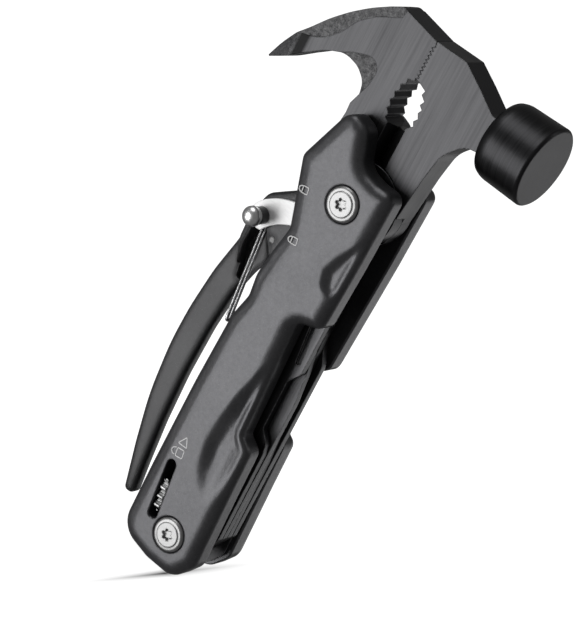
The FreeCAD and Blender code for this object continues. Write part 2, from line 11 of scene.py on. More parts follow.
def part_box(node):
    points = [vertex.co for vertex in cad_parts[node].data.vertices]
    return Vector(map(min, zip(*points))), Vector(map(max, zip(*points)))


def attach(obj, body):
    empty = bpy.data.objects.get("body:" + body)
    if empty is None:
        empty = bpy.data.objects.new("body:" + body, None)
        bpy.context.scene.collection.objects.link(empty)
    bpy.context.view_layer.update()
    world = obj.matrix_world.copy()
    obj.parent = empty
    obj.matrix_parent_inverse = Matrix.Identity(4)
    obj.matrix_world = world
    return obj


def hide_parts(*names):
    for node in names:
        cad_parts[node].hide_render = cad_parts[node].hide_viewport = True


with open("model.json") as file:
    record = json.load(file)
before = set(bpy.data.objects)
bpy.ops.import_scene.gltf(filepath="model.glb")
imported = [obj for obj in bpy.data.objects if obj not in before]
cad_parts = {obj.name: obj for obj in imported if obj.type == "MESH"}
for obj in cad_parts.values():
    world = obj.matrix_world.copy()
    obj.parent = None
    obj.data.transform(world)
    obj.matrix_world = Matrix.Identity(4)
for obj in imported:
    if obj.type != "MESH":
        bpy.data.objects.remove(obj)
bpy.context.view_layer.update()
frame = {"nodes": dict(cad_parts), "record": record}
NODES = frame["nodes"]
bpy.ops.object.select_all(action="DESELECT")

# The working origin is the tool pivot's centre: lengths below are millimetres from it.
screw_low, screw_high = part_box("handle_screws")
PIVOT = np.array([(screw_low.x + screw_high.x) / 2, 0.0, screw_low.z + 0.005])
SCREW_GAP = round((screw_high.z - screw_low.z - 0.010) * 1000, 1)
# How far a scale's outer and inner faces lie from the middle plane.
FACE = 13.6
INNER = 6.2


# ---------------------------------------------------------------- surfaces

def place(points):
    """Row frame position: the pivot's position plus the point in millimetres over 1000."""
    return PIVOT + np.asarray(points, float) * 0.001


def sheet_quads(rows, columns, wrap_rows=False, wrap_columns=False):
    """Corner numbers of the quads of a grid: cell (i, j) joins i to i + 1 and j to j + 1."""
    i = np.arange(rows if wrap_rows else rows - 1)[:, None]
    j = np.arange(columns if wrap_columns else columns - 1)[None, :]
    a, b = i * columns + j, ((i + 1) % rows) * columns + j
    c, d = ((i + 1) % rows) * columns + (j + 1) % columns, i * columns + (j + 1) % columns
    return np.stack([a, b, c, d], -1).reshape(-1, 4)


def new_piece(name, points, quads, material, body, sharp=35.0, weld=1e-6, capped=False):
    """Mesh from arrays, with close points merged, open ends filled if capped, and faces turned outward."""
    mesh = bpy.data.meshes.new(name)
    mesh.vertices.add(len(points))
    mesh.vertices.foreach_set("co", np.asarray(points, np.float32).ravel())
    mesh.loops.add(quads.size)
    mesh.loops.foreach_set("vertex_index", quads.astype(np.int32).ravel())
    mesh.polygons.add(len(quads))
    mesh.polygons.foreach_set("loop_start", np.arange(len(quads), dtype=np.int32) * 4)
    mesh.update(calc_edges=True)
    piece = bpy.data.objects.new(name, mesh)
    bpy.context.scene.collection.objects.link(piece)
    tidy(piece, weld, capped)
    mesh.materials.append(material)
    shade(piece, sharp)
    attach(piece, body)
    return piece


def tidy(piece, weld, capped=False):
    """Merges points closer than weld metres, fills open loops if capped, and points faces outward."""
    bpy.context.view_layer.objects.active = piece
    piece.select_set(True)
    bpy.ops.object.mode_set(mode="EDIT")
    bpy.ops.mesh.select_all(action="SELECT")
    bpy.ops.mesh.remove_doubles(threshold=weld)
    if capped:
        bpy.ops.mesh.fill_holes(sides=0)
    bpy.ops.mesh.normals_make_consistent(inside=False)
    bpy.ops.object.mode_set(mode="OBJECT")
    piece.select_set(False)


def shade(piece, sharp):
    """Smooth shading, with an edge kept sharp where its faces turn by more than this many degrees."""
    bpy.context.view_layer.objects.active = piece
    piece.select_set(True)
    bpy.ops.object.shade_smooth_by_angle(angle=math.radians(sharp))
    piece.select_set(False)


def evenly(points, count, closed=True):
    """Points the same distance apart along a path, by interpolating over its running length."""
    points = np.asarray(points, float)
    if closed:
        points = np.vstack([points, points[:1]])
    run = np.concatenate([[0.0], np.cumsum(np.linalg.norm(np.diff(points, axis=0), axis=1))])
    at = np.linspace(0, run[-1], count + (1 if closed else 0))[:count]
    return np.stack([np.interp(at, run, points[:, k]) for k in range(points.shape[1])], 1)


def outline(corners, count):
    """Closed outline: each corner (x, z, r) is an arc of radius r, tangent to its two sides."""
    out = []
    for i, (x, z, r) in enumerate(corners):
        corner = np.array([x, z], float)
        before = np.array(corners[i - 1][:2], float) - corner
        after = np.array(corners[(i + 1) % len(corners)][:2], float) - corner
        la, lb = np.linalg.norm(before), np.linalg.norm(after)
        before, after = before / la, after / lb
        half = math.acos(max(-1.0, min(1.0, float(before @ after)))) / 2
        if r <= 0 or half > math.pi / 2 - 0.01:
            out.append(corner[None, :])
            continue
        back = min(r / math.tan(half), la * 0.49, lb * 0.49)
        radius = back * math.tan(half)
        middle = (before + after) / np.linalg.norm(before + after)
        centre = corner + middle * radius / math.sin(half)
        first, last = corner + before * back - centre, corner + after * back - centre
        turn = math.atan2(first[0] * last[1] - first[1] * last[0], float(first @ last))
        angle = math.atan2(first[1], first[0]) + turn * np.linspace(0, 1, 12)
        out.append(centre + radius * np.stack([np.cos(angle), np.sin(angle)], 1))
    return evenly(np.vstack(out), count)


def edge_distance(x, z, line):
    """Shortest distance from each point to a closed outline, over its straight pieces."""
    a, b = line, np.roll(line, -1, axis=0)
    d = b - a
    best = np.full(x.shape, 1e9)
    for k in range(len(a)):
        t = np.clip(((x - a[k, 0]) * d[k, 0] + (z - a[k, 1]) * d[k, 1]) / (d[k] @ d[k]), 0, 1)
        best = np.minimum(best, np.hypot(x - a[k, 0] - t * d[k, 0], z - a[k, 1] - t * d[k, 1]))
    return best


def ease(value):
    """Smooth step: 3 t squared less 2 t cubed, for t held between 0 and 1."""
    t = np.clip(value, 0, 1)
    return t * t * (3 - 2 * t)


def slab(corners, spine, front, back, wide, deep, relief=None, count=640, rings=34, back_round=0.35):
    """Plate with a rounded front edge, as one closed grid.

    Row s follows the outline and column r runs from beside the spine to it across the front, down the
    wall and back toward the spine.  The front falls by deep (1 - sqrt(1 - (1 - d / wide) squared)) at a
    distance d inside the outline, and by relief(x, z), which fades in from the outline, on top of that.
    """
    line = outline(corners, count)
    path = evenly(spine, 400, closed=False)
    gap = np.hypot(line[:, None, 0] - path[None, :, 0], line[:, None, 1] - path[None, :, 1])
    root = path[np.argmin(gap, axis=1)]
    share = 0.1 + 0.9 * np.linspace(0, 1, rings) ** 0.85
    flat = root[:, None, :] + (line - root)[:, None, :] * share[None, :, None]
    x, z = flat[..., 0], flat[..., 1]
    d = edge_distance(x, z, outline(corners, 420))
    d[:, -1] = 0
    fall = deep * (1 - np.sqrt(np.clip(1 - (1 - np.clip(d / wide, 0, 1)) ** 2, 0, 1)))
    sign = -1.0 if front < back else 1.0
    if relief is not None:
        fall = fall + relief(x, z) * ease(d / (wide * 0.8))
    top = np.stack([x, front - sign * fall, z], -1)
    wall_y = np.linspace(front - sign * deep, back + sign * back_round, 7)[1:]
    wall = np.stack([np.broadcast_to(line[:, None, 0], (count, 6)), np.broadcast_to(wall_y, (count, 6)),
                     np.broadcast_to(line[:, None, 1], (count, 6))], -1)
    inward = root - line
    inward /= np.maximum(np.linalg.norm(inward, axis=1, keepdims=True), 1e-6)
    bevel = line + inward * back_round
    rear_share = np.linspace(0, 0.9, 6)
    rear = bevel[:, None, :] + (root - bevel)[:, None, :] * rear_share[None, :, None]
    under = np.stack([rear[..., 0], np.full(rear.shape[:2], back), rear[..., 1]], -1)
    return np.concatenate([top, wall, under], axis=1)


# ---------------------------------------------------------------- node groups

def add(tree, kind, **values):
    """One shader node with its properties and unlinked inputs set by name."""
    node = tree.nodes.new(kind)
    for key, value in values.items():
        if hasattr(node, key):
            setattr(node, key, value)
        else:
            node.inputs[key.replace("_", " ")].default_value = value
    return node


def join(tree, out_socket, in_socket):
    tree.links.new(out_socket, in_socket)


def math_node(tree, operation, first, second=None, third=None, clamp=False):
    """Math node whose inputs are sockets or plain numbers."""
    node = tree.nodes.new("ShaderNodeMath")
    node.operation = operation
    node.use_clamp = clamp
    for index, value in enumerate((first, second, third)):
        if value is None:
            continue
        if isinstance(value, (int, float)):
            node.inputs[index].default_value = value
        else:
            tree.links.new(value, node.inputs[index])
    return node.outputs[0]


def mix_colour(tree, factor, first, second, blend="MIX"):
    """Colour mix whose inputs are sockets or plain colours."""
    node = tree.nodes.new("ShaderNodeMix")
    node.data_type = "RGBA"
    node.blend_type = blend
    for index, value in ((0, factor), (6, first), (7, second)):
        if isinstance(value, (int, float)):
            node.inputs[index].default_value = value
        elif isinstance(value, (tuple, list)):
            node.inputs[index].default_value = (*value[:3], 1.0)
        else:
            tree.links.new(value, node.inputs[index])
    return node.outputs[2]


def range_map(tree, value, low, high, to_low=0.0, to_high=1.0, smooth=False):
    """Maps a value from one range to another, held at both ends."""
    node = tree.nodes.new("ShaderNodeMapRange")
    node.interpolation_type = "SMOOTHSTEP" if smooth else "LINEAR"
    for index, number in ((1, low), (2, high), (3, to_low), (4, to_high)):
        node.inputs[index].default_value = number
    tree.links.new(value, node.inputs[0])
    return node.outputs[0]


def node_group(name, inputs, outputs):
    """Empty shader group with named inputs (name, type, default) and outputs (name, type)."""
    tree = bpy.data.node_groups.new(name, "ShaderNodeTree")
    for label, kind, default in inputs:
        socket = tree.interface.new_socket(label, in_out="INPUT", socket_type=kind)
        socket.default_value = default
    for label, kind in outputs:
        tree.interface.new_socket(label, in_out="OUTPUT", socket_type=kind)
    return tree, tree.nodes.new("NodeGroupInput"), tree.nodes.new("NodeGroupOutput")


FLOAT, COLOUR, VECTOR = "NodeSocketFloat", "NodeSocketColor", "NodeSocketVector"


def grain_group():
    """Fine coat texture: two noises in object space, as a value and a height."""
    tree, got, put = node_group("coat_grain", [("Scale", FLOAT, 2600.0), ("Depth", FLOAT, 1.0)],
                                [("Value", FLOAT), ("Height", FLOAT)])
    where = add(tree, "ShaderNodeTexCoord")
    fine = add(tree, "ShaderNodeTexNoise", Detail=3.0, Roughness=0.6)
    join(tree, where.outputs["Object"], fine.inputs["Vector"])
    join(tree, got.outputs["Scale"], fine.inputs["Scale"])
    wide = add(tree, "ShaderNodeTexNoise", Detail=2.0)
    join(tree, where.outputs["Object"], wide.inputs["Vector"])
    join(tree, math_node(tree, "MULTIPLY", got.outputs["Scale"], 0.31), wide.inputs["Scale"])
    both = math_node(tree, "MULTIPLY_ADD", wide.outputs["Fac"], 0.45,
                     math_node(tree, "MULTIPLY", fine.outputs["Fac"], 0.55))
    join(tree, both, put.inputs["Value"])
    join(tree, math_node(tree, "MULTIPLY", both, got.outputs["Depth"]), put.inputs["Height"])
    return tree


def brushed_group():
    """Brushed lines: a noise whose coordinates are pressed along the brushing direction."""
    tree, got, put = node_group("brushed_lines", [("Density", VECTOR, (3000.0, 3000.0, 60.0)),
                                                  ("Depth", FLOAT, 1.0)],
                                [("Value", FLOAT), ("Height", FLOAT)])
    where = add(tree, "ShaderNodeTexCoord")
    times = add(tree, "ShaderNodeVectorMath", operation="MULTIPLY")
    join(tree, where.outputs["Object"], times.inputs[0])
    join(tree, got.outputs["Density"], times.inputs[1])
    lines = add(tree, "ShaderNodeTexNoise", Scale=1.0, Detail=4.0, Roughness=0.62)
    join(tree, times.outputs[0], lines.inputs["Vector"])
    slow = add(tree, "ShaderNodeVectorMath", operation="SCALE", Scale=0.16)
    join(tree, times.outputs[0], slow.inputs[0])
    broad = add(tree, "ShaderNodeTexNoise", Scale=1.0, Detail=2.0)
    join(tree, slow.outputs[0], broad.inputs["Vector"])
    both = math_node(tree, "MULTIPLY_ADD", broad.outputs["Fac"], 0.4,
                     math_node(tree, "MULTIPLY", lines.outputs["Fac"], 0.6))
    join(tree, both, put.inputs["Value"])
    join(tree, math_node(tree, "MULTIPLY", both, got.outputs["Depth"]), put.inputs["Height"])
    return tree


def wear_group():
    """Edge wear: how far a rounded normal leans from the true one, broken up by a noise."""
    tree, got, put = node_group("edge_wear", [("Radius", FLOAT, 0.0004), ("Amount", FLOAT, 1.0),
                                              ("Breakup", FLOAT, 900.0)],
                                [("Mask", FLOAT), ("Normal", VECTOR)])
    soft = add(tree, "ShaderNodeBevel", samples=4)
    join(tree, got.outputs["Radius"], soft.inputs["Radius"])
    true = add(tree, "ShaderNodeNewGeometry")
    lean = add(tree, "ShaderNodeVectorMath", operation="DOT_PRODUCT")
    join(tree, soft.outputs[0], lean.inputs[0])
    join(tree, true.outputs["Normal"], lean.inputs[1])
    away = range_map(tree, math_node(tree, "SUBTRACT", 1.0, lean.outputs["Value"]), 0.02, 0.22)
    where = add(tree, "ShaderNodeTexCoord")
    noise = add(tree, "ShaderNodeTexNoise", Detail=4.0, Roughness=0.65)
    join(tree, where.outputs["Object"], noise.inputs["Vector"])
    join(tree, got.outputs["Breakup"], noise.inputs["Scale"])
    broken = range_map(tree, noise.outputs["Fac"], 0.38, 0.62)
    mask = math_node(tree, "MULTIPLY", math_node(tree, "MULTIPLY", away, broken), got.outputs["Amount"],
                     clamp=True)
    join(tree, mask, put.inputs["Mask"])
    join(tree, soft.outputs[0], put.inputs["Normal"])
    return tree


def smudge_group():
    """Handling marks and dust: slow noises that change roughness and tone a little."""
    tree, got, put = node_group("handling", [("Scale", FLOAT, 55.0), ("Amount", FLOAT, 1.0)],
                                [("Rough", FLOAT), ("Tone", FLOAT), ("Dust", FLOAT)])
    where = add(tree, "ShaderNodeTexCoord")
    slow = add(tree, "ShaderNodeTexNoise", Detail=5.0, Roughness=0.6, Distortion=0.6)
    join(tree, where.outputs["Object"], slow.inputs["Vector"])
    join(tree, got.outputs["Scale"], slow.inputs["Scale"])
    centred = math_node(tree, "SUBTRACT", slow.outputs["Fac"], 0.5)
    join(tree, math_node(tree, "MULTIPLY", centred, got.outputs["Amount"]), put.inputs["Rough"])
    swing = math_node(tree, "MULTIPLY", centred, got.outputs["Amount"])
    tone = math_node(tree, "MULTIPLY_ADD", swing, 0.6, 1.0)
    join(tree, tone, put.inputs["Tone"])
    speck = add(tree, "ShaderNodeTexNoise", Scale=4200.0, Detail=1.0)
    join(tree, where.outputs["Object"], speck.inputs["Vector"])
    join(tree, math_node(tree, "MULTIPLY", range_map(tree, speck.outputs["Fac"], 0.70, 0.78),
                         got.outputs["Amount"]), put.inputs["Dust"])
    return tree


GRAIN, BRUSHED, WEAR, HANDLING = grain_group(), brushed_group(), wear_group(), smudge_group()


# ---------------------------------------------------------------- materials

class Finish:
    """A material with one Principled BSDF and the shared groups placed in it."""

    def __init__(self, name, metallic, roughness, coat=0.0, coat_roughness=0.2):
        self.material = bpy.data.materials.new(name)
        self.material.use_nodes = True
        self.tree = self.material.node_tree
        self.tree.nodes.clear()
        self.out = add(self.tree, "ShaderNodeOutputMaterial")
        self.skin = add(self.tree, "ShaderNodeBsdfPrincipled")
        self.skin.inputs["Metallic"].default_value = metallic
        self.skin.inputs["Roughness"].default_value = roughness
        self.skin.inputs["Coat Weight"].default_value = coat
        self.skin.inputs["Coat Roughness"].default_value = coat_roughness
        join(self.tree, self.skin.outputs[0], self.out.inputs["Surface"])

    def use(self, tree, **values):
        """Places a shared group, with its inputs set by name."""
        node = self.tree.nodes.new("ShaderNodeGroup")
        node.node_tree = tree
        for key, value in values.items():
            node.inputs[key].default_value = value
        return node

    def position(self):
        """Object position split into its three numbers, in metres."""
        where = add(self.tree, "ShaderNodeTexCoord")
        split = add(self.tree, "ShaderNodeSeparateXYZ")
        join(self.tree, where.outputs["Object"], split.inputs[0])
        return split.outputs

    def colour(self, socket):
        join(self.tree, socket, self.skin.inputs["Base Color"])

    def rough(self, socket):
        join(self.tree, socket, self.skin.inputs["Roughness"])

    def bump(self, height, distance, strength=1.0, normal=None):
        """Bump from a height in the range 0 to 1 times a distance in metres."""
        node = add(self.tree, "ShaderNodeBump", Strength=strength, Distance=distance)
        join(self.tree, height, node.inputs["Height"])
        if normal is not None:
            join(self.tree, normal, node.inputs["Normal"])
        join(self.tree, node.outputs[0], self.skin.inputs["Normal"])


def coated(name, dark, light, worn, roughness, metallic=0.55, grain=2600.0, depth=0.00003, wear=0.7,
           coat=0.0, soft=0.0005):
    """Satin coating: grained dark coat, paler where it is rubbed, with bare metal at the edges."""
    f = Finish(name, metallic, roughness, coat)
    grain_node = f.use(GRAIN, Scale=grain)
    hand = f.use(HANDLING, Scale=48.0, Amount=1.0)
    edge = f.use(WEAR, Radius=0.0005, Amount=wear)
    broad = f.use(WEAR, Radius=soft, Amount=0.0)
    base = mix_colour(f.tree, grain_node.outputs["Value"], dark, light)
    base = mix_colour(f.tree, 1.0, base, hand.outputs["Tone"], "MULTIPLY")
    dust = math_node(f.tree, "MULTIPLY", hand.outputs["Dust"], 0.35)
    base = mix_colour(f.tree, dust, base, (0.3, 0.3, 0.3))
    f.colour(mix_colour(f.tree, edge.outputs["Mask"], base, worn))
    rough = math_node(f.tree, "MULTIPLY_ADD", hand.outputs["Rough"], 0.25, roughness)
    f.rough(math_node(f.tree, "MULTIPLY_ADD", edge.outputs["Mask"], -0.08, rough, clamp=True))
    f.bump(grain_node.outputs["Height"], depth, 1.0, broad.outputs["Normal"])
    return f.material


def brushed(name, dark, light, worn, roughness, density, metallic=1.0, wear=0.8, depth=0.00002, grow=None,
            radius=0.0004):
    """Brushed metal: streaked tone and height, brighter on its edges.  grow may change the result."""
    f = Finish(name, metallic, roughness)
    lines = f.use(BRUSHED, Density=density)
    hand = f.use(HANDLING, Scale=60.0, Amount=1.0)
    edge = f.use(WEAR, Radius=radius, Amount=wear)
    streak = range_map(f.tree, lines.outputs["Value"], 0.32, 0.68)
    base = mix_colour(f.tree, streak, dark, light)
    base = mix_colour(f.tree, 1.0, base, hand.outputs["Tone"], "MULTIPLY")
    base = mix_colour(f.tree, edge.outputs["Mask"], base, worn)
    rough = math_node(f.tree, "MULTIPLY_ADD", streak, 0.10, roughness - 0.05)
    rough = math_node(f.tree, "MULTIPLY_ADD", hand.outputs["Rough"], 0.2, rough)
    height = lines.outputs["Height"]
    if grow is not None:
        base, rough, height = grow(f, base, rough, height)
    f.colour(base)
    f.rough(rough)
    f.bump(height, depth, 1.0, edge.outputs["Normal"])
    return f.material


def between(f, value, low, high, soft=0.00015):
    """Mask that is 1 where a position lies between two limits."""
    rise = range_map(f.tree, value, low - soft, low + soft)
    fall = range_map(f.tree, value, high - soft, high + soft, 1.0, 0.0)
    return math_node(f.tree, "MULTIPLY", rise, fall)


def cast_panels(f, base, rough, height):
    """Claw: granular cast hollows between the brushed faces, painted shade as dark lines on their rims, and a
    dark tip.
    """
    x, y, z = f.position()
    deep = math_node(f.tree, "ABSOLUTE", y)
    floor = between(f, deep, 0.0036, 0.00425, 0.00004)
    behind = range_map(f.tree, x, float(PIVOT[0]) - 0.0128, float(PIVOT[0]) - 0.0122, 1.0, 0.0)
    panel = math_node(f.tree, "MULTIPLY", floor, behind)
    # Painted shade: a near black line along the walls of the hollows, where shade falls.
    rim = math_node(f.tree, "MULTIPLY", between(f, deep, 0.0042, 0.00452, 0.00004), behind)
    pits = f.use(GRAIN, Scale=2400.0)
    rocky = range_map(f.tree, pits.outputs["Value"], 0.36, 0.64)
    cast = mix_colour(f.tree, rocky, (0.06, 0.06, 0.062), (0.24, 0.24, 0.245))
    base = mix_colour(f.tree, panel, base, cast)
    base = mix_colour(f.tree, math_node(f.tree, "MULTIPLY", rim, 0.9), base, (0.01, 0.01, 0.01))
    tip = range_map(f.tree, x, float(PIVOT[0]) - 0.0410, float(PIVOT[0]) - 0.0392, 1.0, 0.0)
    base = mix_colour(f.tree, math_node(f.tree, "MULTIPLY", tip, 0.55), base, (0.03, 0.03, 0.033))
    rough = math_node(f.tree, "MULTIPLY_ADD", panel, 0.2, rough)
    lifted = math_node(f.tree, "MULTIPLY", math_node(f.tree, "MULTIPLY", rocky, panel), 5.0)
    # The flanks take the painted shade of jaw_sides.
    return jaw_sides(f, base, rough, math_node(f.tree, "ADD", height, lifted))


def jaw_sides(f, base, rough, height):
    """Jaws: painted shade makes the flanks darker than the ground faces on the front and back, by how far
    each turns away from them.
    """
    true = add(f.tree, "ShaderNodeNewGeometry")
    split = add(f.tree, "ShaderNodeSeparateXYZ")
    join(f.tree, true.outputs["Normal"], split.inputs[0])
    facing = math_node(f.tree, "ABSOLUTE", split.outputs[1])
    # Painted shade: faces turned away from the front and back are mixed toward near black.
    flank_shade = range_map(f.tree, facing, 0.35, 0.75, 1.0, 0.0)
    base = mix_colour(f.tree, math_node(f.tree, "MULTIPLY", flank_shade, 0.82), base, (0.022, 0.022, 0.024))
    return base, math_node(f.tree, "MULTIPLY_ADD", flank_shade, -0.06, rough), height


def poll_coat(f, base, rough, height):
    """Hammer: the turned poll has a gloss black coat with rings, and its face is ground grey."""
    # The flanks take the painted shade of jaw_sides first.
    base, rough, height = jaw_sides(f, base, rough, height)
    x, y, z = f.position()
    back = float(PIVOT[0]) + 0.0243
    face = float(PIVOT[0]) + 0.0402
    poll = range_map(f.tree, x, back - 0.0001, back + 0.0001)
    struck = range_map(f.tree, x, face - 0.00004, face + 0.00004)
    rings = add(f.tree, "ShaderNodeTexNoise", Scale=1.0, Detail=4.0, Roughness=0.6)
    where = add(f.tree, "ShaderNodeCombineXYZ")
    join(f.tree, math_node(f.tree, "MULTIPLY", x, 2600.0), where.inputs[0])
    join(f.tree, math_node(f.tree, "MULTIPLY", y, 70.0), where.inputs[1])
    join(f.tree, math_node(f.tree, "MULTIPLY", z, 70.0), where.inputs[2])
    join(f.tree, where.outputs[0], rings.inputs["Vector"])
    ring = range_map(f.tree, rings.outputs["Fac"], 0.35, 0.65)
    coat = mix_colour(f.tree, ring, (0.026, 0.026, 0.027), (0.040, 0.040, 0.042))
    base = mix_colour(f.tree, poll, base, coat)
    ground = mix_colour(f.tree, ring, (0.085, 0.085, 0.088), (0.11, 0.11, 0.113))
    base = mix_colour(f.tree, struck, base, ground)
    gloss = math_node(f.tree, "MULTIPLY_ADD", ring, 0.05, 0.34)
    kept = math_node(f.tree, "MULTIPLY", rough, math_node(f.tree, "SUBTRACT", 1.0, poll))
    rough = math_node(f.tree, "ADD", kept, math_node(f.tree, "MULTIPLY", gloss, poll))
    rough = math_node(f.tree, "MULTIPLY_ADD", struck, 0.14, rough)
    return base, rough, height


UP_DENSITY = (1500.0, 1500.0, 40.0)
MATERIALS = {
    "scale": coated("scale_coat", (0.046, 0.046, 0.049), (0.108, 0.108, 0.113), (0.24, 0.24, 0.25), 0.34,
                    metallic=0.75, grain=3200.0, depth=0.00005),
    "lever": coated("lever_coat", (0.020, 0.020, 0.021), (0.045, 0.045, 0.047), (0.12, 0.12, 0.125), 0.34,
                    metallic=0.5, soft=0.0026),
    "claw_jaw": brushed("claw_steel", (0.042, 0.042, 0.044), (0.104, 0.104, 0.108), (0.20, 0.20, 0.21), 0.42,
                        UP_DENSITY, grow=cast_panels),
    "hammer_jaw": brushed("hammer_steel", (0.042, 0.042, 0.044), (0.104, 0.104, 0.108), (0.20, 0.20, 0.21),
                          0.42, UP_DENSITY, grow=poll_coat),
    "bright": brushed("bright_fastener", (0.60, 0.60, 0.60), (0.76, 0.76, 0.76), (0.9, 0.9, 0.9), 0.30,
                      (2200.0, 2200.0, 2200.0), wear=0.6),
    "dark": coated("black_bush", (0.008, 0.008, 0.009), (0.02, 0.02, 0.021), (0.2, 0.2, 0.2), 0.30, 0.3),
    "plate": brushed("satin_plate", (0.74, 0.74, 0.74), (0.90, 0.90, 0.90), (0.98, 0.98, 0.98), 0.42,
                     (400.0, 2600.0, 2600.0), metallic=0.25),
    "wire": brushed("spring_steel", (0.62, 0.62, 0.63), (0.82, 0.82, 0.83), (0.9, 0.9, 0.9), 0.24,
                    (900.0, 900.0, 60.0), wear=0.0, depth=0.000004),
    "screw": brushed("screw_nickel", (0.27, 0.27, 0.27), (0.38, 0.38, 0.38), (0.66, 0.66, 0.66), 0.36,
                     (1500.0, 1500.0, 1500.0), metallic=0.85, wear=0.9),
    "rivet": brushed("rivet_steel", (0.05, 0.05, 0.05), (0.10, 0.10, 0.10), (0.5, 0.5, 0.5), 0.30,
                     (1500.0, 1500.0, 1500.0), wear=1.0),
    "slider": brushed("polished_bar", (0.22, 0.22, 0.22), (0.40, 0.40, 0.40), (0.7, 0.7, 0.7), 0.26,
                      (2200.0, 2200.0, 2200.0), wear=0.5),
    "washer": brushed("washer_steel", (0.30, 0.30, 0.30), (0.55, 0.55, 0.55), (0.8, 0.8, 0.8), 0.35,
                      (1800.0, 1800.0, 1800.0)),
    "liner": brushed("liner_steel", (0.03, 0.03, 0.032), (0.07, 0.07, 0.072), (0.3, 0.3, 0.3), 0.40,
                     UP_DENSITY, metallic=0.8),
    "tools": brushed("tool_steel", (0.05, 0.05, 0.052), (0.12, 0.12, 0.125), (0.5, 0.5, 0.5), 0.38,
                     UP_DENSITY),
}
for entry in frame["record"]["subparts"]:
    node = NODES[entry["node"]]
    node.data.materials.clear()
    look = "rivet" if entry["node"] == "lever_rivets" else entry["material_slot"]
    node.data.materials.append(MATERIALS[look])


# ---------------------------------------------------------------- handle scales

LEFT = [(-3.8, -11.0, 9), (-15.4, -8.4, 8), (-15.8, 14, 100), (-15.8, 42, 200), (-15.1, 64.5, 6),
        (-13.2, 72.0, 4), (-14.1, 78.5, 10), (-13.0, 87.0, 60), (-11.5, 95.0, 5), (-14.6, 104.0, 30),
        (-18.2, 114.4, 3), (-12.4, 130.0, 3), (-9.6, 132.4, 4.5), (-4.0, 130.6, 4.2), (-0.4, 120.9, 6),
        (6.0, 119.6, 5), (12.3, 119.6, 3.6)]
FOOT = [(9.6, 34.6, 3.2), (10.0, 20, 200), (10.9, -4.0, 5), (6.2, -11.0, 6)]
FRONT_NOTCH = [(11.9, 96, 200), (11.2, 76.6, 3.4), (3.4, 74.2, 3.2), (4.1, 58, 120), (5.0, 37.4, 2.2)]
BACK_NOTCH = [(11.9, 96, 200), (10.6, 59.8, 3.4), (3.9, 58.6, 3.2), (4.6, 37.2, 2.2)]
SPINE = [(-3.5, -3.5), (-5.0, 20.0), (-6.0, 36.0), (-6.0, 76.0), (-3.5, 92.0), (-3.6, 108.0), (-9.6, 124.0)]
SLOT = ((-7.6, 2.1), (-9.4, 17.5))


def grip_relief(x, z):
    """Depth of the two thumb hollows and of the crowned left side.

    Each hollow falls by a smooth step to the right of a curved left wall, and rises again toward its
    lower end and toward the right-hand edge.  The crown is 0.85 (1 - distance from the left / 7.5) squared.
    """
    wall = np.interp(z, [10, 16, 22, 30, 38, 47, 57, 64, 71, 78],
                     [4, 0.5, -2.6, -3.4, -2.8, -1.4, 1.4, 4.4, 7.5, 12])
    low_end = 13.0 + 0.10 * (x - 4.0) ** 2
    fade = 1 - 0.8 * ease((x - 3.0) / 7.5)
    lower = 1.55 * ease((x - wall + 0.8) / 5.0) * ease((z - low_end) / 16.0) * fade
    wall = np.interp(z, [84, 88, 92, 97, 101, 106, 110], [9.0, 5.0, 4.0, 5.8, 8.2, 11.0, 14.0])
    fade = 1 - 0.75 * ease((x - 7.5) / 5.0)
    upper = 1.25 * ease((x - wall + 0.6) / 3.6) * ease((z - 84.8) / 4.6) * fade
    left = np.interp(z, [-11, 0, 60, 72, 95, 114, 130], [-15.0, -15.6, -15.4, -13.4, -11.6, -18.0, -12.4])
    crown = 0.85 * np.clip(1 - (x - left) / 7.5, 0, 1) ** 2
    return lower + upper + crown


def disc_cutter(name, x, z, radius, mouth, deep, sign):
    """Cylinder with a flared mouth about the Y direction, as rings joined by a grid."""
    angle = np.linspace(0, 2 * math.pi, 96, endpoint=False)
    floor = sign * (FACE - deep)
    rings = [(0.0, floor), (radius, floor), (radius, sign * (FACE - 0.35)), (mouth, sign * (FACE + 0.02)),
             (mouth, sign * (FACE + 2)), (0.0, sign * (FACE + 2))]
    points = np.array([[[x + r * np.cos(a), y, z + r * np.sin(a)] for r, y in rings] for a in angle])
    return cutter(name, points)


def capsule_line(low, high, half, count=72):
    """Outline of a slot with round ends between two centres."""
    low, high = np.array(low, float), np.array(high, float)
    way = (high - low) / np.linalg.norm(high - low)
    side = np.array([-way[1], way[0]])
    a = np.linspace(0, math.pi, count // 2)
    top = high + half * (np.cos(a)[:, None] * -side + np.sin(a)[:, None] * way)
    foot = low + half * (np.cos(a)[:, None] * side - np.sin(a)[:, None] * way)
    return np.vstack([top, foot])


def cutter(name, points):
    """Closed solid from a grid of rings, used only to cut."""
    mesh = bpy.data.meshes.new(name)
    flat = place(points.reshape(-1, 3))
    mesh.from_pydata(flat.tolist(), [], sheet_quads(points.shape[0], points.shape[1], True).tolist())
    piece = bpy.data.objects.new(name, mesh)
    bpy.context.scene.collection.objects.link(piece)
    tidy(piece, 1e-6)
    return piece


